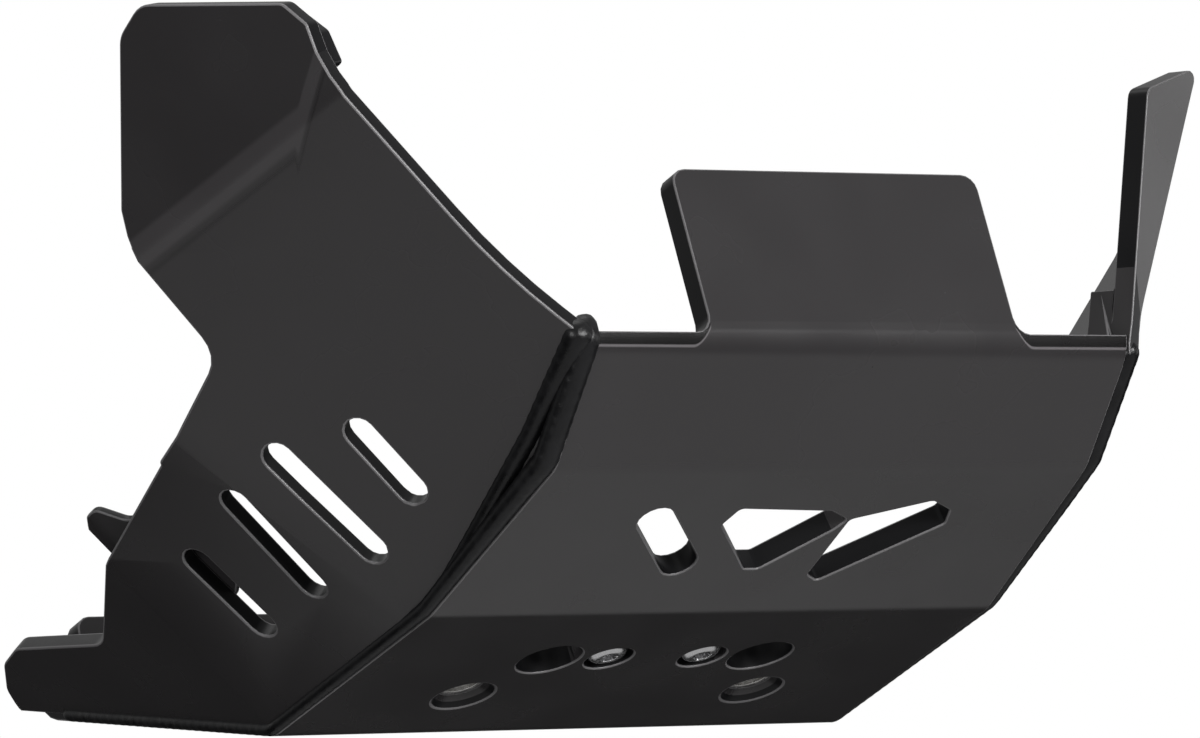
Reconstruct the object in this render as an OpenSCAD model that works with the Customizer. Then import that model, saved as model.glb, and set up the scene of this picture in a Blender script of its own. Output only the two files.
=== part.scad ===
// Motorcycle skid plate: thick plastic sheet, heat-bent into a trough, with two welded side wings.
// Units are millimetres. X runs across the motorcycle, Y to the rear and Z up.
// The origin lies midway between the two frame bolt holes, on the lower face of the flat bottom.

/* [Sheet] */
// Thickness of the plastic sheet
sheet_t = 6; // [5:0.5:7]
// Inside radius of the bends of the centre plate
bend_r = 5; // [3:0.5:7]
// Thickness of the side wings' sheet
wing_t = 4.5; // [4:0.5:6]
// Thickness of the backing plate
backing_t = 5; // [3:0.5:6]
// Thickness of the rear ear
ear_t = 2; // [1.5:0.5:4]

/* [Centre plate] */
// Half width of the front and the vented panel
front_half_w = 76; // [74:0.5:78]
// Half width at the front of the flat bottom
fold_half_w = 80.5; // [79:0.5:82]
// Half width at the rear of the flat bottom
rear_half_w = 82; // [80:0.5:84]
// Length of the flat bottom
bottom_len = 71.6; // [66:0.2:80]
// Length of the vented panel in front of the bottom
vented_len = 56; // [52:1:62]
// Angle of the vented panel above the ground
vented_tilt = 12.9; // [10:0.1:16]
// Length of the front panel above it
front_len = 33.5; // [30:0.5:40]
// Angle of the front panel above the ground
front_tilt = 35; // [30:1:40]
// Height of the upright tab
tab_h = 44; // [30:1:60]
// Width of the upright tab
tab_w = 87; // [60:1:110]
// Radius of the tab's upper corners
tab_corner_r = 4; // [2:0.5:10]
// Radius where the tab meets the front panel's edge
tab_root_r = 4; // [2:0.5:6]
// Length of the rising rear panel
rear_len = 108; // [100:1:125]
// Angle of the rear panel above the ground
rear_tilt = 25; // [20:1:30]
// Height of the flange along the rear edge
flange_h = 25; // [22:1:35]
// Width of the flange along the rear edge
flange_w = 139; // [80:1:146]

/* [Vents] */
// Width of the vent slots in the wing
wing_slot_w = 7.5; // [4:0.5:9]
// Width of the slanted slot in the vented panel
panel_slot_w = 9; // [5:0.5:10]
// Corner radius of the two pointed vents
vent_corner_r = 1.5; // [0.5:0.1:2]

/* [Right wing] */
// Outward lean of the right wing from the vertical
right_flare = 45; // [42:1:48]
// Inward fold of the pad at the wing's top
pad_fold = 25; // [15:1:30]
// Width of the soft band along the pad's fold
pad_band = 6; // [4:0.5:8]
// Reach of the soft bend to each side of the fold
soft_reach = 8; // [4:1:10]

/* [Left wing] */
// Outward lean of the left wing from the vertical
left_flare = 27; // [22:1:35]
// Height of the left wing up its own face
left_wing_h = 38; // [34:1:44]
// Turn of the fin away from straight across
fin_turn = 16; // [5:1:25]
// Backward lean of the fin
fin_lean = 20.5; // [10:0.5:30]
// Length of the fin's outer edge
fin_h = 58; // [45:0.5:66]
// Width of the fin at its top
fin_w = 19.5; // [14:0.5:26]

/* [Holes and fasteners] */
// Spacing of the two frame bolt holes
frame_bolt_spacing = 84; // [82:1:88]
// Distance of the frame bolt holes behind the fold
frame_bolt_y = 49; // [46:1:52]
// Bore of the frame bolt sleeves
sleeve_bore = 8.5; // [6.5:0.5:9]
// Outer diameter of the frame bolt sleeves
sleeve_od = 11; // [10.5:0.1:12]
// Diameter of the sleeves' inner flange
sleeve_flange_d = 17; // [15:0.5:19]
// Diameter of the countersink's mouth
countersink_d = 16; // [14:0.5:18]
// Spacing of the two large access holes
access_spacing = 61; // [60:0.5:64]
// Diameter of the large access holes
access_d = 16.4; // [12:0.2:17]
// Spacing of the two clamp screws
screw_spacing = 27; // [24:0.5:28]
// Distance of the clamp screws and access holes behind the fold
screw_y = 27.5; // [26:0.5:29]
// Nominal diameter of the clamp screws
screw_d = 6; // [5:0.5:6]
// Head diameter of the clamp screws
head_d = 10.5; // [9:0.5:11]
// Head height of the clamp screws
head_h = 3.1; // [2.5:0.1:3.2]
// Gap round each screw
clearance = 0.3; // [0.2:0.05:0.5]

/* [Clamp] */
// Thickness of the clamp bracket
bracket_t = 4; // [3:0.5:6]
// Length of the clamp bracket across the plate
bracket_w = 41; // [40:0.5:42]
// Depth of the clamp bracket from front to rear
bracket_d = 22; // [16:1:26]
// Thickness of the washers
washer_t = 1.2; // [0.8:0.2:2]
// Outer diameter of the washers
washer_d = 12; // [11:0.5:13]
// Height of the nuts
nut_h = 5; // [4:0.5:6]

/* [Welds] */
// Radius of the weld bead along the front and the vented panel
weld_front_r = 3.3; // [2.5:0.1:4]
// Radius of the weld bead beside the flat bottom
weld_bottom_r = 1.8; // [1.2:0.1:2.2]

/* [Hidden] */
$fn = 32;

sheet_colour = [0.07, 0.07, 0.075];
weld_colour = [0.04, 0.04, 0.045];
metal_colour = [0.72, 0.72, 0.73];

eps = 0.01;
far = 400;
// The wings' faces start this far above the plate's lower edge
base_step = 0.3;
arc_steps = 4;

// Outer corners of the centre plate's section, from the tab's top to the flange's top, as [y, z]
fold_corner = [0, 0];
mid_corner = vented_len * [-cos(vented_tilt), sin(vented_tilt)];
front_corner = mid_corner + front_len * [-cos(front_tilt), sin(front_tilt)];
tab_top = front_corner + [0, tab_h];
rear_corner = [bottom_len, 0];
flange_corner = rear_corner + rear_len * [cos(rear_tilt), sin(rear_tilt)];
flange_top = flange_corner + [0, flange_h];
section_path = [tab_top, front_corner, mid_corner, fold_corner, rear_corner, flange_corner, flange_top];

// Slope and length of the wings' straight base in front of the fold
rake = atan2(front_corner[1], -front_corner[0]);
base_len = norm(front_corner);
soft_front = soft_reach * [-cos(rake), sin(rake)];

// Faces of a wing as [where its base line starts, its slope]: front, soft bend, beside the bottom, rear
front_face = [fold_corner, rake];
soft_face = [soft_front, rake / 2];
side_face = [fold_corner, 0];
rear_face = [rear_corner, -rear_tilt];

counterbore_d = head_d + 6 * clearance;
counterbore_h = head_h + clearance / 2;
bore_d = screw_d + 2 * clearance;
shank_len = sheet_t - counterbore_h + bracket_t + washer_t + nut_h + 1.5;

// Unit vector at an angle in the plane
function heading(a) = [cos(a), sin(a)];

// Signed turn of a path at corner b in degrees, positive to the left
function turn_at(a, b, c) =
    let (u = b - a, v = c - b) atan2(u[0] * v[1] - u[1] * v[0], u * v);

// Points of an arc that rounds corner b between a and c with radius r
function corner_arc(a, b, c, r) =
    let (turn = turn_at(a, b, c), u = (b - a) / norm(b - a), reach = r * tan(abs(turn) / 2),
         side = turn > 0 ? 1 : -1, start = b - u * reach, centre = start + side * r * [-u[1], u[0]],
         a0 = atan2(start[1] - centre[1], start[0] - centre[0]))
    r < eps || abs(turn) < 0.5 ? [b] :
    [for (i = [0 : arc_steps]) centre + r * heading(a0 + turn * i / arc_steps)];

// Closed outline from corners given as [x, y, radius]
function rounded(p) =
    let (n = len(p), xy = [for (q = p) [q[0], q[1]]])
    [for (i = [0 : n - 1]) each corner_arc(xy[(i + n - 1) % n], xy[i], xy[(i + 1) % n], p[i][2])];

// Open path moved to its left by d with mitred corners
function moved_path(p, d) =
    let (n = len(p))
    [for (i = [0 : n - 1])
        let (u = p[i] - p[max(i - 1, 0)], v = p[min(i + 1, n - 1)] - p[i],
             un = i == 0 ? v / norm(v) : u / norm(u), vn = i == n - 1 ? un : v / norm(v),
             nu = [-un[1], un[0]], nv = [-vn[1], vn[0]])
        p[i] + d * (nu + nv) / (1 + nu * nv)];

// Open path with its inner corners rounded by r
function softened(p, r) =
    let (n = len(p))
    [for (i = [0 : n - 1]) each (i == 0 || i == n - 1 ? [p[i]] : corner_arc(p[i - 1], p[i], p[i + 1], r))];

// Outline of a bent sheet of thickness t whose outer face follows path p
function bent_section(p, t, r) =
    let (outer = softened(p, r + t), inner = softened(moved_path(p, t), r))
    concat(outer, [for (i = [len(inner) - 1 : -1 : 0]) inner[i]]);

// Moves everything from the fold's middle to the part's origin
module placed() {
    translate([0, -frame_bolt_y, 0]) children();
}

// Both sides of the centre line
module pair(x) {
    for (s = [-1, 1]) translate([s * x, 0, 0]) children();
}

// Slot with round ends between two points
module slot_2d(a, b, width) {
    run = b - a;
    half = width / 2;
    far_end = norm(run) + half;
    r = half - eps;
    translate(a) rotate(atan2(run[1], run[0])) polygon(rounded([[-half, -half, r], [far_end, -half, r],
                                                                [far_end, half, r], [-half, half, r]]));
}

// Plan of the centre plate, a little wider at the rear
module plan_2d() {
    half = [[-far, front_half_w], [mid_corner[0], front_half_w], [0, fold_half_w],
            [bottom_len, rear_half_w], [far, rear_half_w]];
    polygon(concat([for (p = half) [p[1], p[0]]],
                   [for (i = [len(half) - 1 : -1 : 0]) [-half[i][1], half[i][0]]]));
}

// View along the plate of an upright piece narrower than the panel below it
module upright_2d(width, root_z, top_z) {
    w = width / 2;
    polygon(rounded([[-far, -far, 0], [far, -far, 0], [far, root_z, 0], [w, root_z, tab_root_r],
                     [w, top_z, tab_corner_r], [-w, top_z, tab_corner_r],
                     [-w, root_z, tab_root_r], [-far, root_z, 0]]));
}

// The whole bent plate before any hole is cut
module plate_blank() {
    intersection() {
        rotate([90, 0, 90]) translate([0, 0, -far / 2]) linear_extrude(far)
            polygon(bent_section(section_path, sheet_t, bend_r));
        translate([0, 0, -far]) linear_extrude(2 * far) plan_2d();
        union() {
            rotate([90, 0, 0]) linear_extrude(far)
                upright_2d(tab_w, front_corner[1] + sheet_t / 2, tab_top[1]);
            translate([0, far, 0]) rotate([90, 0, 0]) linear_extrude(far)
                upright_2d(flange_w, flange_corner[1] + sheet_t / 2, flange_top[1]);
        }
    }
}

// Everything from the plate's inner face outwards, within its plan: what a wing has to clear
module plate_side() {
    inner = softened(moved_path(section_path, sheet_t), bend_r);
    intersection() {
        rotate([90, 0, 90]) translate([0, 0, -far / 2]) linear_extrude(far)
            polygon(concat(inner, [[far, flange_top[1]], [far, -far], [-far, -far], [-far, tab_top[1]]]));
        translate([0, 0, -far]) linear_extrude(2 * far) plan_2d();
    }
}

// Vents of the sloping panel, drawn as [x, distance in front of the fold]
module vents_2d() {
    slot_2d([-37.5, 36.5], [-21.5, 19.5], panel_slot_w);
    polygon(rounded([[-17.5, 34.3, vent_corner_r], [-15.6, 40.5, vent_corner_r],
                     [11, 39.4, vent_corner_r], [17.5, 36, vent_corner_r],
                     [15.5, 32, vent_corner_r], [2.5, 17, vent_corner_r], [-1.5, 17, 1]]));
    polygon(rounded([[18.3, 36, vent_corner_r], [18.3, 14.5, vent_corner_r], [22.3, 12, vent_corner_r],
                     [47, 34.2, vent_corner_r], [45.3, 39.5, vent_corner_r],
                     [38.3, 43.2, vent_corner_r]]));
}

// Heat-bent centre plate with its tab, vents and bottom holes
module center_plate() {
    color(sheet_colour) placed() difference() {
        plate_blank();
        rotate([180 - vented_tilt, 0, 0]) translate([0, 0, -3 * sheet_t])
            linear_extrude(5 * sheet_t) vents_2d();
        translate([0, screw_y, -sheet_t]) pair(access_spacing / 2) cylinder(d = access_d, h = 3 * sheet_t);
        translate([0, screw_y, -sheet_t]) pair(screw_spacing / 2) cylinder(d = bore_d, h = 3 * sheet_t);
        translate([0, screw_y, -eps]) pair(screw_spacing / 2)
            cylinder(d = counterbore_d, h = counterbore_h + eps);
        translate([0, frame_bolt_y, 0]) pair(frame_bolt_spacing / 2) {
            translate([0, 0, -sheet_t]) cylinder(d = sleeve_od, h = 3 * sheet_t);
            translate([0, 0, -eps]) cylinder(d1 = countersink_d, d2 = sleeve_od, h = sheet_t / 2);
        }
    }
}

// Frame of a wing face: X runs to the rear along its base, Y up the face and Z into the plate
module wing_frame(face, flare) {
    translate([-fold_half_w, face[0][0], face[0][1]]) rotate([-face[1], 0, 0]) rotate([0, 90 - flare, 0])
        rotate([0, 0, 90]) children();
}

// Everything deeper than a wing face's outer side by depth, above a line along its base
module deeper(depth, low) {
    translate([-far, low, depth]) cube([2 * far, 2 * far, far]);
}

// What lies inside all four faces of a wing, each moved in by depth
module inside_faces(flare, depth) {
    low = depth > 0 ? -far : base_step;
    intersection() {
        wing_frame(front_face, flare) deeper(depth, -far);
        wing_frame(soft_face, flare) deeper(depth, low);
        wing_frame(side_face, flare) deeper(depth, low);
        wing_frame(rear_face, flare) deeper(depth, low);
    }
}

// Solid that cuts a wing's outline out of its bent sheet
module outline_on(face, flare) {
    wing_frame(face, flare) translate([0, 0, -2]) linear_extrude(wing_t + 4) children();
}

// Right pad: its fold line on the wing's front face, and how far it runs past the line's start
fold_start = [-103.6, 79.4];
fold_angle = 20.3;
fold_len = 59.2;
fold_front = 12.4;
overrun = 6;

// Point on the wing's front face, given along and across the pad's fold line
function pad_point(x, y) = fold_start + x * heading(fold_angle) + y * heading(fold_angle + 90);

// Frame of the pad's fold line, turned into the plate by an angle
module pad_frame(shift, turn) {
    wing_frame(front_face, right_flare) translate([fold_start[0], fold_start[1], 0])
        rotate([0, 0, fold_angle]) translate([0, shift, 0]) rotate([turn, 0, 0]) children();
}

// What lies inside the right wing's faces, its pad and the pad's soft band
module inside_right_wing(depth) {
    intersection() {
        inside_faces(right_flare, depth);
        pad_frame(-pad_band / 2, pad_fold / 2) translate([0, -far, 0]) deeper(depth, 0);
        pad_frame(0, pad_fold) translate([0, -far, 0]) deeper(depth, 0);
    }
}

// Outlines of the right wing on each of its faces
module right_wing_outlines() {
    outline_on(front_face, right_flare)
        polygon(rounded([[0, -4, 0], [-53, -4, 0], [-base_len - 1.5, -1, 2], [-93.8, 23.5, 150],
                         [pad_point(-fold_front, 0)[0], pad_point(-fold_front, 0)[1], 0],
                         [pad_point(-fold_front + 2, overrun)[0], pad_point(-fold_front + 2, overrun)[1], 0],
                         [pad_point(fold_len - 5, overrun)[0], pad_point(fold_len - 5, overrun)[1], 0],
                         [pad_point(fold_len, 0)[0], pad_point(fold_len, 0)[1], 0],
                         [pad_point(60, -3.2)[0], pad_point(60, -3.2)[1], 0],
                         [-34.3, 71.3, 9], [0, 71.3, 0]]));
    outline_on(soft_face, right_flare) polygon([[-10, -3], [26, -3], [26, 60], [20.3, 70.2], [-4.7, 71.3], [-10, 68]]);
    outline_on(side_face, right_flare)
        polygon(rounded([[0, -3, 0], [110, -3, 0], [76, 42, 0], [62.5, 59.5, 2], [0, 73.1, 0]]));
    outline_on(rear_face, right_flare)
        polygon(rounded([[-14, -3, 0], [112, -3, 0], [118.4, 3.5, 3], [116, 10, 8], [106, 19.5, 10],
                         [93.2, 25.5, 12], [47.7, 29, 16], [13, 57.5, 3], [8.7, 60, 1], [-14, 62, 0]]));
    pad_frame(0, pad_fold) translate([0, 0, -2]) linear_extrude(wing_t + 4)
        polygon(rounded([[-fold_front + 2, -overrun, 0], [fold_len - 2, -overrun, 0], [fold_len, 0, 0],
                         [56, 8.8, 3], [41.1, 29.2, 0], [32.5, 41, 6], [23.5, 44, 6], [-10.8, 23, 3],
                         [-13.8, 15.7, 2], [-fold_front, 9, 1], [-fold_front, 0, 0]]));
}

// Right wing before its slots are cut
module right_wing_blank() {
    intersection() {
        difference() {
            inside_right_wing(0);
            inside_right_wing(wing_t);
        }
        right_wing_outlines();
    }
}

// Slots of the right wing on its front face and beside the bottom
front_slots = [[[-17.8, 48.2], [-8.2, 19.2]], [[-35.4, 34.3], [-28.7, 17.7]]];
side_slots = [[[40.8, 45.1], [43.1, 23.9]], [[14.9, 50.1], [19.6, 23.5]]];

module wing_slots(slots, face) {
    wing_frame(face, right_flare) translate([0, 0, -sheet_t])
        linear_extrude(3 * sheet_t) for (s = slots) slot_2d(s[0], s[1], wing_slot_w);
}

// Tall wing on the rider's right with its slots
module right_wing() {
    color(sheet_colour) placed() difference() {
        right_wing_blank();
        plate_side();
        wing_slots(front_slots, front_face);
        wing_slots(side_slots, side_face);
    }
}

// Second layer on the pad's inner face
module right_backing_plate() {
    color(sheet_colour) placed() pad_frame(0, pad_fold) translate([0, 0, wing_t]) linear_extrude(backing_t)
        polygon(rounded([[-11, pad_band / 2 + 3, 1], [50, pad_band / 2 + 3, 3], [40, 25, 4],
                         [31, 36, 5], [22, 39, 5], [-9, 20.5, 3], [-12, 14, 2]]));
}

// Outline of the ear on the face beside the bottom
ear_outline = [[37, 38, 3], [44, 33.7, 0], [48, 31.5, 3], [60, 40, 12], [68.7, 58.9, 4], [70.6, 62.5, 1],
               [69.2, 65.5, 2], [61.8, 69.6, 3], [57, 69.8, 3], [52, 62.5, 4], [38, 60, 4]];

// Small plate on the wing's inner face that stands out as an ear above its rear edge
module right_rear_ear() {
    color(sheet_colour) placed() difference() {
        wing_frame(side_face, right_flare) translate([0, 0, wing_t]) linear_extrude(ear_t)
            polygon(rounded(ear_outline));
        wing_frame(rear_face, right_flare) translate([-far / 2, -far / 2, -far]) cube([far, far, far + wing_t]);
    }
}

// Low wing on the rider's left, before it is cut to the plate
module left_wing_blank() {
    h = left_wing_h;
    mirror([1, 0, 0]) intersection() {
        difference() {
            inside_faces(left_flare, 0);
            inside_faces(left_flare, wing_t);
        }
        union() {
            outline_on(front_face, left_flare)
                polygon(rounded([[0, -4, 0], [-53, -4, 0], [-82.5, -1, 1], [-86.5, 14, 8],
                                 [-104, 45, 3], [-100, 49, 3], [-84, h, 6], [0, h, 0]]));
            outline_on(soft_face, left_flare) polygon([[-10, -3], [26, -3], [26, h], [-10, h]]);
            outline_on(side_face, left_flare) polygon([[0, -3], [84, -3], [84, h - 7], [64, h], [0, h]]);
            outline_on(rear_face, left_flare)
                polygon(rounded([[-14, -3, 0], [108, -3, 0], [113, 8, 6], [104, 18.6, 10], [88, 24.8, 10],
                                 [44, 29, 16], [20, h - 3.5, 8], [4, h - 3.5, 0], [-14, h - 9, 0]]));
        }
    }
}

// Upright fin at the front of the left wing, with a thicker foot where it is welded on
module fin() {
    translate([front_half_w + 2.5, front_corner[0], front_corner[1] + 4]) rotate([0, 0, fin_turn])
        rotate([fin_lean, 0, 0]) rotate([90, 0, 0]) {
            translate([0, 0, -sheet_t]) linear_extrude(sheet_t)
                polygon(rounded([[-2.6, -6, 0], [-1.4, 2, 0], [-0.5, 15, 4], [2.5, fin_h, 3],
                                 [2.5 + fin_w, fin_h + 8.2, 2], [1.8, 3, 2], [1.6, -6, 0]]));
            translate([0, 0, -2.2 * sheet_t]) linear_extrude(2 * sheet_t)
                polygon([[-2.4, -6], [-1.2, 2], [-0.6, 10], [1.6, 6], [2.6, -6]]);
        }
}

// Low wing with its upright fin
module left_wing() {
    color(sheet_colour) placed() difference() {
        union() {
            left_wing_blank();
            fin();
        }
        plate_side();
    }
}

// Eight-sided rod between two points that runs on by a little at each end
module rod(a, b, r) {
    d = b - a;
    h = norm(d);
    translate(a) rotate([0, acos(d[2] / h), atan2(d[1], d[0])]) translate([0, 0, -r / 3])
        linear_extrude(h + 2 * r / 3) polygon([for (i = [0 : 7]) r * heading(45 * i + 22.5)]);
}

// Weld bead along the seam between the plate and a wing, on the -X side
module weld_path(start_y, front_r) {
    rise = (front_corner[1] - mid_corner[1]) / (front_corner[0] - mid_corner[0]);
    front = [-front_half_w - 2, front_corner[0] + start_y, front_corner[1] + 3 + rise * start_y];
    mid = [-front_half_w - 2, mid_corner[0], mid_corner[1] + 3.2];
    fold = [-fold_half_w - 1, 0, weld_bottom_r + 0.15];
    back = [-fold_half_w - 1.5, rear_corner[0], weld_bottom_r + 0.15];
    end = back + 96 * [0, cos(rear_tilt), sin(rear_tilt)];
    rod(front, mid, front_r);
    rod(mid, fold, weld_bottom_r);
    rod(fold, back, weld_bottom_r);
    rod(back, end, weld_bottom_r);
}

// Weld bead on the rider's right
module right_weld_bead() {
    color(weld_colour) placed() difference() {
        weld_path(1, weld_front_r);
        plate_blank();
        right_wing_blank();
    }
}

// Weld bead on the rider's left
module left_weld_bead() {
    color(weld_colour) placed() difference() {
        mirror([1, 0, 0]) weld_path(4, weld_front_r - 0.6);
        plate_blank();
        left_wing_blank();
        fin();
    }
}

// Flanged metal sleeves pressed into the frame bolt holes
module mount_sleeves() {
    color(metal_colour) pair(frame_bolt_spacing / 2) difference() {
        union() {
            translate([0, 0, sheet_t / 2]) cylinder(d = sleeve_od, h = sheet_t / 2);
            translate([0, 0, sheet_t]) cylinder(d = sleeve_flange_d, h = 1.5);
        }
        translate([0, 0, -sheet_t]) cylinder(d = sleeve_bore, h = 4 * sheet_t);
    }
}

// Metal strip of the tube clamp on the plate's inner face
module clamp_bracket() {
    color(metal_colour) placed() translate([0, screw_y, sheet_t]) difference() {
        linear_extrude(bracket_t) polygon(rounded([[-bracket_w / 2, -bracket_d / 2, 4],
            [bracket_w / 2, -bracket_d / 2, 4], [bracket_w / 2, bracket_d / 2, 4],
            [-bracket_w / 2, bracket_d / 2, 4]]));
        translate([0, 0, -eps]) pair(screw_spacing / 2) cylinder(d = bore_d, h = bracket_t + 1);
    }
}

// Button-head screws with their heads sunk into the lower face
module clamp_screws() {
    r = head_d / 2;
    color(metal_colour) placed() translate([0, screw_y, counterbore_h]) pair(screw_spacing / 2) {
        cylinder(d = screw_d, h = shank_len);
        difference() {
            mirror([0, 0, 1]) rotate_extrude() polygon(concat([[0, 0], [r, 0]],
                [for (i = [0 : 6]) [r * (0.52 + 0.48 * cos(i * 15)), head_h * (0.22 + 0.78 * sin(i * 15))]],
                [[0, head_h]]));
            translate([0, 0, -head_h - eps]) rotate(30) cylinder(d = 4.62, h = 2, $fn = 6);
        }
    }
}

// Washers under the nuts
module clamp_washers() {
    color(metal_colour) placed() translate([0, screw_y, sheet_t + bracket_t]) pair(screw_spacing / 2)
        difference() {
            cylinder(d = washer_d, h = washer_t);
            translate([0, 0, -eps]) cylinder(d = screw_d + 0.4, h = washer_t + 1);
        }
}

// Hexagon nuts on the screws
module clamp_nuts() {
    color(metal_colour) placed() translate([0, screw_y, sheet_t + bracket_t + washer_t])
        pair(screw_spacing / 2) difference() {
            cylinder(d = 11.55, h = nut_h, $fn = 6);
            translate([0, 0, -eps]) cylinder(d = screw_d, h = nut_h + 1);
        }
}

center_plate();
right_wing();
left_wing();
right_backing_plate();
right_rear_ear();
right_weld_bead();
left_weld_bead();
mount_sleeves();
clamp_bracket();
clamp_screws();
clamp_washers();
clamp_nuts();
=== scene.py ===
"""Looks of the skid plate: satin plastic sheet with eased edges, weld beads, steel and aluminium."""

import math

import bmesh
import bpy
from mathutils import Matrix, Vector
from mathutils.bvhtree import BVHTree


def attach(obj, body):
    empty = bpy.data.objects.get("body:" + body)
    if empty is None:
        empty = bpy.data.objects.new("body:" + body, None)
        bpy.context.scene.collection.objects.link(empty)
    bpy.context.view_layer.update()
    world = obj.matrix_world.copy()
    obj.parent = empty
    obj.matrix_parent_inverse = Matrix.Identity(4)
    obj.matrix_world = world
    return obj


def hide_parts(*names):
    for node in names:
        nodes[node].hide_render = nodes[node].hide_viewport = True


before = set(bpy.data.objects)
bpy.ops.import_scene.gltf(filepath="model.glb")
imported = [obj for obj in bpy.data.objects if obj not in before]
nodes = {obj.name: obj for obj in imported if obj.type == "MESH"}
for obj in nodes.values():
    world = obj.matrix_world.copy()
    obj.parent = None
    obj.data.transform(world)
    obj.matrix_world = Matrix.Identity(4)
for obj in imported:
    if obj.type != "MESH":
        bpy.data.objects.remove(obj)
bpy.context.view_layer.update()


class Graph:
    """Small helper for building node materials."""

    def __init__(self, name):
        self.material = bpy.data.materials.new(name)
        self.material.use_nodes = True
        self.tree = self.material.node_tree
        self.shader = self.tree.nodes["Principled BSDF"]
        self.coords = self.add("ShaderNodeTexCoord")

    def add(self, kind, **values):
        node = self.tree.nodes.new(kind)
        for key, value in values.items():
            setattr(node, key, value)
        return node

    def link(self, source, output, target, socket):
        self.tree.links.new(source.outputs[output], target.inputs[socket])

    def noise(self, scale, detail, rough, stretch=None):
        noise = self.add("ShaderNodeTexNoise")
        noise.inputs["Scale"].default_value = scale
        noise.inputs["Detail"].default_value = detail
        noise.inputs["Roughness"].default_value = rough
        if stretch:
            mapping = self.add("ShaderNodeMapping")
            mapping.inputs["Scale"].default_value = stretch
            self.link(self.coords, "Object", mapping, "Vector")
            self.link(mapping, "Vector", noise, "Vector")
        else:
            self.link(self.coords, "Object", noise, "Vector")
        return noise

    def ramp(self, source, output, stops):
        ramp = self.add("ShaderNodeValToRGB")
        ramp.color_ramp.interpolation = "EASE"
        elements = ramp.color_ramp.elements
        while len(elements) < len(stops):
            elements.new(0.5)
        for element, (place, value) in zip(elements, stops):
            element.position = place
            element.color = (*value, 1.0) if isinstance(value, tuple) else (value, value, value, 1.0)
        self.link(source, output, ramp, "Fac")
        return ramp

    def bump(self, height, output, strength, distance, under=None):
        bump = self.add("ShaderNodeBump")
        bump.inputs["Strength"].default_value = strength
        bump.inputs["Distance"].default_value = distance
        self.link(height, output, bump, "Height")
        if under:
            self.link(under, "Normal", bump, "Normal")
        return bump

    def math(self, operation, *values):
        node = self.add("ShaderNodeMath", operation=operation)
        for i, value in enumerate(values):
            if isinstance(value, tuple):
                self.tree.links.new(value[0].outputs[value[1]], node.inputs[i])
            else:
                node.inputs[i].default_value = value
        return (node, 0)

    def reach(self, direction, origin):
        """Distance of a surface point from origin along a direction, in millimetres."""
        dot = self.add("ShaderNodeVectorMath", operation="DOT_PRODUCT")
        self.link(self.coords, "Object", dot, 0)
        dot.inputs[1].default_value = Vector(direction) * 1000
        return self.math("SUBTRACT", (dot, "Value"), Vector(direction).dot(Vector(origin)))

    def step(self, value, start, end):
        """Rises smoothly from 0 at start to 1 at end."""
        node = self.add("ShaderNodeMapRange", interpolation_type="SMOOTHSTEP")
        self.tree.links.new(value[0].outputs[value[1]], node.inputs["Value"])
        node.inputs["From Min"].default_value = start
        node.inputs["From Max"].default_value = end
        return (node, "Result")

    def put(self, **values):
        for key, value in values.items():
            self.shader.inputs[key.replace("_", " ")].default_value = value


MOTTLE_SCALE, PATCH_SCALE, GRAIN_SCALE, WAVE_SCALE = 14, 30, 3200, 11


def sheet_material(name, base, rough, uneven=0.05, grain=0.08, tone=None, ior=1.52):
    """Cut and heat-bent plastic sheet: a fine pressed grain over very slight mottling and waves."""
    g = Graph(name)
    mottle = g.noise(MOTTLE_SCALE, 3, 0.5)
    dark = tuple(c * (1 - uneven) for c in base)
    pale = tuple(c * (1 + uneven) for c in base)
    shade = g.ramp(mottle, "Fac", [(0.35, dark), (0.5, base), (0.65, pale)])
    # tone paints light and shade into the colour: a factor that scales the mottled base colour.
    if tone:
        painted_light_factor = tone(g)
        scaled = g.add("ShaderNodeVectorMath", operation="SCALE")
        g.link(shade, "Color", scaled, 0)
        g.tree.links.new(painted_light_factor[0].outputs[painted_light_factor[1]], scaled.inputs["Scale"])
        g.link(scaled, "Vector", g.shader, "Base Color")
    else:
        g.link(shade, "Color", g.shader, "Base Color")
    patches = g.noise(PATCH_SCALE, 3, 0.5)
    gloss = g.ramp(patches, "Fac", [(0.3, rough - 0.025), (0.7, rough + 0.025)])
    g.link(gloss, "Color", g.shader, "Roughness")
    pressed = g.noise(GRAIN_SCALE, 2, 0.6)
    waves = g.noise(WAVE_SCALE, 2, 0.5)
    soft = g.bump(waves, "Fac", 0.12, 0.0006)
    fine = g.bump(pressed, "Fac", grain, 0.00008, soft)
    g.link(fine, "Normal", g.shader, "Normal")
    g.put(IOR=ior)
    return g.material


def weld_material(name, base, rough):
    """Extruded weld plastic: glossier, with fine drag lines."""
    g = Graph(name)
    mottle = g.noise(120, 4, 0.6)
    dark = tuple(c * 0.7 for c in base)
    pale = tuple(c * 1.35 for c in base)
    shade = g.ramp(mottle, "Fac", [(0.3, dark), (0.7, pale)])
    g.link(shade, "Color", g.shader, "Base Color")
    gloss = g.ramp(mottle, "Fac", [(0.3, rough - 0.06), (0.7, rough + 0.1)])
    g.link(gloss, "Color", g.shader, "Roughness")
    drag = g.noise(900, 4, 0.6)
    g.link(g.bump(drag, "Fac", 0.4, 0.0003), "Normal", g.shader, "Normal")
    g.put(IOR=1.38)
    return g.material


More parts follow.
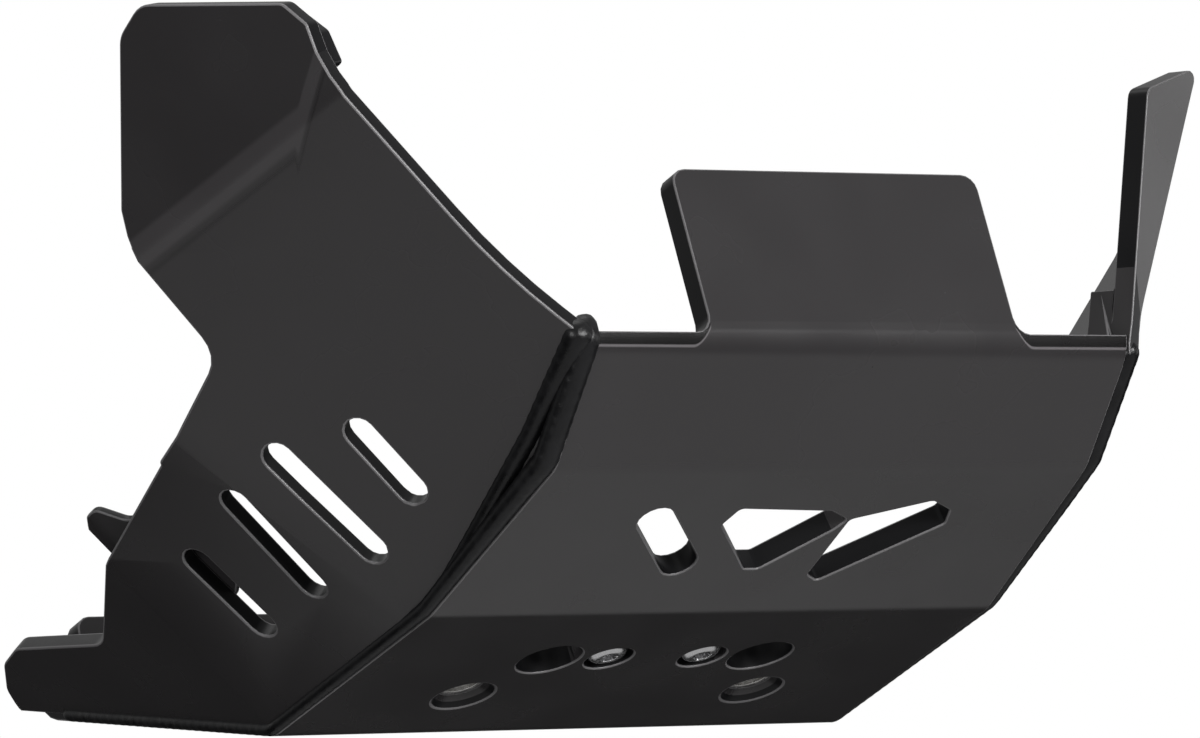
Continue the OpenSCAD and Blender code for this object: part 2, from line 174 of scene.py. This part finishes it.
def metal_material(name, base, rough, stretch, wear=0.5):
    """Machined or plated metal: fine directional marks and slightly uneven brightness."""
    g = Graph(name)
    marks = g.noise(420, 4, 0.6, stretch)
    tone = g.ramp(marks, "Fac", [(0.3, tuple(c * (1 - 0.22 * wear) for c in base)), (0.7, base)])
    g.link(tone, "Color", g.shader, "Base Color")
    gloss = g.ramp(marks, "Fac", [(0.3, rough - 0.05), (0.7, rough + 0.1)])
    g.link(gloss, "Color", g.shader, "Roughness")
    g.link(g.bump(marks, "Fac", 0.12, 0.0001), "Normal", g.shader, "Normal")
    g.put(Metallic=1.0)
    return g.material


def pad_band_painted_highlight_and_shade(g):
    """The pad's heat-bent band is painted paler than the sheet round it, a painted highlight, with a painted
    shade line below it.
    """
    corner = (-136.6, -125.4, 89.7)
    along, up = Vector((-0.2453, 0.9633, -0.1088)), Vector((-0.6632, -0.0849, 0.7436))
    s, t = g.reach(along, corner), g.reach(up, corner)
    u = g.reach(along * 0.517 + up * 0.856, corner)
    main = g.math("DIVIDE", g.math("ADD", t, 1.75), 3.25)
    turned = g.math("DIVIDE", g.math("ADD", u, 0.3), 1.5)
    side = g.math("ADD", g.math("MULTIPLY", s, 0.686), g.math("MULTIPLY_ADD", t, 0.728, -0.65))
    share = g.step(side, -0.6, 0.6)
    v = g.math("ADD", g.math("MULTIPLY", main, share),
               g.math("MULTIPLY", turned, g.math("SUBTRACT", 1.0, share)))
    # Painted highlight: the band's colour is raised across its width.
    pale = g.math("MULTIPLY", g.step(v, -1.25, -0.8), g.math("SUBTRACT", 1.0, g.step(v, 0.8, 1.25)))
    # Painted shade: a darker line just below the band.
    painted_shade_line = g.math("MULTIPLY", g.step(v, -1.95, -1.6), g.math("SUBTRACT", 1.0, g.step(v, -1.6, -1.25)))
    return g.math("ADD", g.math("MULTIPLY_ADD", pale, 0.75, 1.0), g.math("MULTIPLY", painted_shade_line, -0.30))


def panel_lip_painted_shade_and_highlight(g):
    """Painted shade darkens the lip along the front panel's edge, beside the tab, with a painted highlight
    line along it.
    """
    side = g.math("ABSOLUTE", g.reach((1, 0, 0), (0, 0, 0)))
    height = g.reach((0, 0, 1), (0, 0, 31.7))
    front = g.step(g.math("MULTIPLY", g.reach((0, 1, 0), (0, 0, 0)), -1.0), 100, 102)
    inside = g.math("MAXIMUM", g.math("SUBTRACT", 48.6, side), 0.0)
    fillet = g.math("MULTIPLY", g.math("POWER", inside, 2.0), 0.16)
    level = g.math("SUBTRACT", height, fillet)
    outside = g.math("MULTIPLY", g.step(side, 43.2, 43.7), front)
    # Painted shade: the lip beside the tab is darkened.
    dark = g.math("MULTIPLY", g.step(level, 0.1, 0.4), outside)
    band = g.math("MULTIPLY", g.step(level, -0.45, -0.15), g.math("SUBTRACT", 1.0, g.step(level, 0.05, 0.3)))
    # Painted highlight: a pale line along the lip's edge.
    line = g.math("MULTIPLY", band, outside)
    return g.math("ADD", g.math("MULTIPLY_ADD", dark, -0.8, 1.0), g.math("MULTIPLY", line, 4.0))


BLACK = (0.0215, 0.0202, 0.0211)
SHEET = sheet_material("black_sheet", BLACK, 0.26)
# The wing's sheet carries the painted highlight band and painted shade line on the pad.
WING_WITH_PAINTED_BAND = sheet_material("black_sheet_wing_painted_band", BLACK, 0.26, tone=pad_band_painted_highlight_and_shade)
# The plate's sheet carries painted shade on the front panel's lip and a painted highlight line along it.
PLATE_WITH_PAINTED_LIP = sheet_material("black_sheet_plate_painted_lip", BLACK, 0.26, tone=panel_lip_painted_shade_and_highlight)
SHEETS = (SHEET, WING_WITH_PAINTED_BAND, PLATE_WITH_PAINTED_LIP)
FACE_SLOT, EDGE_HIGHLIGHT_SLOT, CUT_SLOT = 0, 1, 2
# Paler edge material on the rounded edges: a painted highlight.
EDGE_PAINTED_HIGHLIGHT = sheet_material("black_sheet_edge_painted_highlight", (0.10, 0.097, 0.10), 0.40, uneven=0.25, grain=0.4)
# Much darker copy of the sheet for the cut faces: painted shade.
CUT_PAINTED_SHADE = sheet_material("black_sheet_cut_painted_shade", (0.0045, 0.0045, 0.005), 0.30, uneven=0.15, grain=0.3, ior=1.30)
WELD = weld_material("black_weld", (0.0045, 0.0045, 0.005), 0.32)
SLEEVE = metal_material("sleeve_steel", (0.70, 0.69, 0.67), 0.24, (1, 1, 9))
BRACKET = metal_material("bracket_aluminium", (0.62, 0.62, 0.63), 0.36, (1, 8, 1))
SCREW = metal_material("screw_steel", (0.72, 0.72, 0.73), 0.20, (3, 3, 3))

LOOK = {
    "center_plate": (PLATE_WITH_PAINTED_LIP, 0.0004), "right_wing": (WING_WITH_PAINTED_BAND, 0.0005), "left_wing": (SHEET, 0.0003),
    "right_backing_plate": (SHEET, 0.0005), "right_rear_ear": (SHEET, 0.0004),
    "right_weld_bead": (WELD, 0.0), "left_weld_bead": (WELD, 0.0),
    "mount_sleeves": (SLEEVE, 0.0002), "clamp_bracket": (BRACKET, 0.0004),
    "clamp_screws": (SCREW, 0.00018), "clamp_washers": (SCREW, 0.00015), "clamp_nuts": (SCREW, 0.0003),
}


def mark_cut_faces(obj, thickest=0.0068):
    """Gives the sheet's sawn and drilled faces their own darker, smoother material; the darker colour is
    painted shade.
    """
    tree = BVHTree.FromPolygons([v.co for v in obj.data.vertices], [p.vertices for p in obj.data.polygons])
    for polygon in obj.data.polygons:
        start = polygon.center - polygon.normal * 0.00002
        hit = tree.ray_cast(start, -polygon.normal, 1.0)
        polygon.material_index = FACE_SLOT if hit[3] is not None and hit[3] < thickest else CUT_SLOT


def ease_edges(obj, width, slot):
    """Rounds the sharp edges so that they catch light, as a routed edge does; on the sheets the rounded
    strip takes the paler edge material, a painted highlight.
    """
    for polygon in obj.data.polygons:
        polygon.use_smooth = True
    weld = obj.modifiers.new("weld", "WELD")
    weld.merge_threshold = 0.00006
    if width:
        flat = obj.modifiers.new("flat faces", "DECIMATE")
        flat.decimate_type = "DISSOLVE"
        flat.angle_limit = math.radians(0.6)
        flat.delimit = {"MATERIAL"}
        bevel = obj.modifiers.new("eased edges", "BEVEL")
        bevel.width = width
        bevel.segments = 2
        bevel.limit_method = "ANGLE"
        bevel.angle_limit = math.radians(38)
        bevel.use_clamp_overlap = False
        bevel.harden_normals = True
        bevel.material = slot
        bevel.miter_outer = "MITER_ARC"
    normals = obj.modifiers.new("normals", "WEIGHTED_NORMAL")
    normals.keep_sharp = True
    normals.weight = 80


for name, (material, width) in LOOK.items():
    obj = nodes[name]
    obj.data.materials.clear()
    obj.data.materials.append(material)
    if material in SHEETS:
        obj.data.materials.append(EDGE_PAINTED_HIGHLIGHT)
        obj.data.materials.append(CUT_PAINTED_SHADE)
        mark_cut_faces(obj)
    ease_edges(obj, width, EDGE_HIGHLIGHT_SLOT if material in SHEETS else -1)


# The centre plate's panels, as in the CAD: lengths in millimetres and angles above the ground.
VENTED_LEN, FRONT_LEN, BOTTOM_LEN, REAR_SEAM = 56, 33.5, 71.6, 96
VENTED_TILT, FRONT_TILT, REAR_TILT = math.radians(12.9), math.radians(35), math.radians(25)
FOLD_TO_ORIGIN = Vector((0, 0.049, 0))
MM = 0.001


def bead_path(side, front_r, rise_over):
    """Centre line and radius of a weld bead, in millimetres, on the side -1 (right) or 1 (left)."""
    mid = (-VENTED_LEN * math.cos(VENTED_TILT), VENTED_LEN * math.sin(VENTED_TILT))
    top = (mid[0] - FRONT_LEN * math.cos(FRONT_TILT), mid[1] + FRONT_LEN * math.sin(FRONT_TILT))
    rise = (top[1] - mid[1]) / (top[0] - mid[0])
    low = 1.8
    level = low + 0.15
    start = [((side * 75.6, top[0] + 5.5, top[1] + 4.5), 2.6),
             ((side * 77.2, top[0] + 1.5, top[1] + 5.2), front_r)]
    end = (side * 82, BOTTOM_LEN + REAR_SEAM * math.cos(REAR_TILT), level + REAR_SEAM * math.sin(REAR_TILT))
    return (start if rise_over else []) + [
        ((side * 77.6, top[0] + 1, top[1] + 2 + rise), front_r),
        ((side * 77.9, mid[0], mid[1] + 2.4), front_r),
        ((side * 79.3, mid[0] * 0.7, mid[1] * 0.7 + 2.2), front_r * 0.85),
        ((side * 81.5, 0, level), low),
        ((side * 82, BOTTOM_LEN, level), low),
        (end, low)]


def second_pass_path():
    """Second pass of the right bead, laid along the foot of the wing's face, in millimetres."""
    up = Vector((-0.707, 0.255, 0.66))
    inwards = Vector((0.707, 0.255, 0.66))
    showing = 1.3  # how far the pass stands out of the wing's face
    foot = [  # place on the foot line, shift up the face, radius
        ((-80.5, -85.0, 32.8), 1.7, 3.9),
        ((-80.5, -68, 26.3), 0.8, 3.1),
        ((-80.5, -54.6, 21.1), 0.0, 2.6),
        ((-80.5, -25, 9.6), 0.2, 2.3),
        ((-80.5, 0, 0.6), 1.0, 1.25),
    ]
    return [(tuple(Vector(place) + up * shift + inwards * (radius - showing)), radius)
            for place, shift, radius in foot]


RING_STEP, RING_SIDES = 0.8, 16
RIPPLE_LENGTH, RIPPLE_DEPTH = 3.4, 0.035
TIP_LENGTH, END_RINGS = 2.2, 3


def even_points(corners):
    """Points every RING_STEP along the corners' line, with its turns softened."""
    points = []
    for (a, ra), (b, rb) in zip(corners, corners[1:]):
        a, b = Vector(a), Vector(b)
        steps = max(2, int((b - a).length / RING_STEP))
        points += [(a.lerp(b, i / steps), ra + (rb - ra) * i / steps) for i in range(steps)]
    points.append((Vector(corners[-1][0]), corners[-1][1]))
    for _ in range(3):
        points = ([points[0]] + [((p[0] + 2 * q[0] + r[0]) / 4, (p[1] + 2 * q[1] + r[1]) / 4)
                                 for p, q, r in zip(points, points[1:], points[2:])] + [points[-1]])
    return points


def weld_bead(name, node, corners):
    """Extruded plastic bead: a rounded rope with soft overlapping ripples and tapered ends."""
    points = even_points(corners)
    last = len(points) - 1
    across = Vector((1, 0, 0))
    turns = [2 * math.pi * k / RING_SIDES for k in range(RING_SIDES)]
    work = bmesh.new()
    rings, run = [], 0.0
    for i, (centre, radius) in enumerate(points):
        before, after = points[max(i - 1, 0)][0], points[min(i + 1, last)][0]
        rise = (after - before).normalized().cross(across).normalized()
        run += (centre - before).length
        lap = 0.5 + 0.5 * math.sin(run * 2 * math.pi / RIPPLE_LENGTH)
        tip = min(1.0, math.sqrt(max(0.02, run / TIP_LENGTH)), math.sqrt(max(0.02, (last - i) / END_RINGS)))
        r = radius * tip * (1 - RIPPLE_DEPTH + RIPPLE_DEPTH * lap)
        ring = [centre + r * (math.cos(t) * across + math.sin(t) * rise) for t in turns]
        rings.append([work.verts.new(place * MM - FOLD_TO_ORIGIN) for place in ring])
    for one, two in zip(rings, rings[1:]):
        for k in range(RING_SIDES):
            beside = (k + 1) % RING_SIDES
            work.faces.new((one[k], one[beside], two[beside], two[k]))
    work.faces.new(rings[0])
    work.faces.new(reversed(rings[-1]))
    bmesh.ops.recalc_face_normals(work, faces=work.faces)
    mesh = bpy.data.meshes.new(name)
    work.to_mesh(mesh)
    work.free()
    for polygon in mesh.polygons:
        polygon.use_smooth = True
    obj = bpy.data.objects.new(name, mesh)
    bpy.context.scene.collection.objects.link(obj)
    mesh.materials.append(WELD)
    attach(obj, "root")
    if node:
        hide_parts(node)


weld_bead("right_bead_rope", "right_weld_bead", bead_path(-1, 3.0, True))
weld_bead("right_bead_second_pass", None, second_pass_path())
weld_bead("left_bead_rope", "left_weld_bead", bead_path(1, 2.5, False))

# The camera stands low in front of the part, on the rider's right, and looks up at it.
EYE = Vector((-1.1367, -1.5350, -0.6276))
LENS = 250.9
look = Vector((0.5650, 0.7487, 0.3480)).normalized()
up = Vector((0.013, -0.397, 0.918))
right = look.cross(up).normalized()
up = right.cross(look).normalized()
camera = bpy.data.objects.new("camera", bpy.data.cameras.new("camera"))
bpy.context.scene.collection.objects.link(camera)
camera.matrix_world = Matrix.Translation(EYE) @ Matrix((right, up, -look)).transposed().to_4x4()
camera.data.lens = LENS
camera.data.sensor_width = 36.0
camera.data.sensor_fit = "HORIZONTAL"
camera.data.clip_end = 50
bpy.context.scene.camera = camera


def white_to_camera(tree, shader, output):
    """Shows plain white to the camera, and keeps the true surface for all other light."""
    paths = tree.nodes.new("ShaderNodeLightPath")
    seen = tree.nodes.new("ShaderNodeMath")
    seen.operation = "MAXIMUM"
    tree.links.new(paths.outputs["Is Camera Ray"], seen.inputs[0])
    tree.links.new(paths.outputs["Is Transmission Ray"], seen.inputs[1])
    glow = tree.nodes.new("ShaderNodeBackground" if output.type == "OUTPUT_WORLD" else "ShaderNodeEmission")
    glow.inputs["Color"].default_value = (1, 1, 1, 1)
    glow.inputs["Strength"].default_value = 1.0
    mix = tree.nodes.new("ShaderNodeMixShader")
    tree.links.new(seen.outputs[0], mix.inputs[0])
    tree.links.new(shader.outputs[0], mix.inputs[1])
    tree.links.new(glow.outputs[0], mix.inputs[2])
    tree.links.new(mix.outputs[0], output.inputs["Surface"])


world = bpy.data.worlds.new("studio")
bpy.context.scene.world = world
world.use_nodes = True
sky = world.node_tree
backdrop = sky.nodes["Background"]
backdrop.inputs["Strength"].default_value = 0.45
direction = sky.nodes.new("ShaderNodeTexCoord")
split = sky.nodes.new("ShaderNodeSeparateXYZ")
height = sky.nodes.new("ShaderNodeValToRGB")
height.color_ramp.elements[0].position = 0.0
height.color_ramp.elements[0].color = (0.05, 0.05, 0.05, 1)
height.color_ramp.elements[1].position = 0.6
height.color_ramp.elements[1].color = (1, 1, 1, 1)
sky.links.new(direction.outputs["Generated"], split.inputs[0])
sky.links.new(split.outputs["Z"], height.inputs["Fac"])
sky.links.new(height.outputs["Color"], backdrop.inputs["Color"])
white_to_camera(sky, backdrop, sky.nodes["World Output"])

# The floor shows as plain white; the light it throws back is that of a dark one, as under the real part.
FLOOR_REACH, FLOOR_LEVEL = 6.0, -0.80
floor_mesh = bpy.data.meshes.new("floor")
corners = [(x * FLOOR_REACH, y * FLOOR_REACH, FLOOR_LEVEL) for x, y in ((-1, -1), (1, -1), (1, 1), (-1, 1))]
floor_mesh.from_pydata(corners, [], [(0, 1, 2, 3)])
floor = bpy.data.objects.new("floor", floor_mesh)
bpy.context.scene.collection.objects.link(floor)
pale = bpy.data.materials.new("pale floor")
pale.use_nodes = True
surface = pale.node_tree.nodes["Principled BSDF"]
surface.inputs["Base Color"].default_value = (0.04, 0.04, 0.04, 1)
surface.inputs["Specular IOR Level"].default_value = 0.0
surface.inputs["Roughness"].default_value = 0.9
floor.data.materials.append(pale)
white_to_camera(pale.node_tree, surface, pale.node_tree.nodes["Material Output"])


def lamp(name, place, target, energy, width, height):
    """Area lamp of the given size in metres and power in watts, turned towards the target."""
    data = bpy.data.lights.new(name, "AREA")
    data.shape = "RECTANGLE"
    data.size, data.size_y = width, height
    data.energy = energy
    obj = bpy.data.objects.new(name, data)
    bpy.context.scene.collection.objects.link(obj)
    obj.location = place
    obj.rotation_euler = (Vector(target) - Vector(place)).to_track_quat("-Z", "Y").to_euler()
    return obj


middle = (0.0, 0.0, 0.04)
lamp("front key", (0.15, -2.0, -0.2), middle, 53, 1.3, 0.6)
lamp("side fill", (-1.9, -0.7, -0.2), middle, 16, 1.0, 0.8)
lamp("right fill", (1.8, -0.85, -0.2), middle, 4, 0.9, 0.8)
lamp("top", (-0.2, -0.3, 2.0), middle, 10, 1.6, 1.2)
glow = lamp("floor glow", (0.05, 0.25, -0.78), (0.05, 0.25, 0.0), 5.0, 2.2, 2.2)
glow.data.shape = "DISK"
for light in [o for o in bpy.context.scene.objects if o.type == "LIGHT"]:
    light.visible_camera = False

bpy.context.scene.view_settings.view_transform = "Standard"
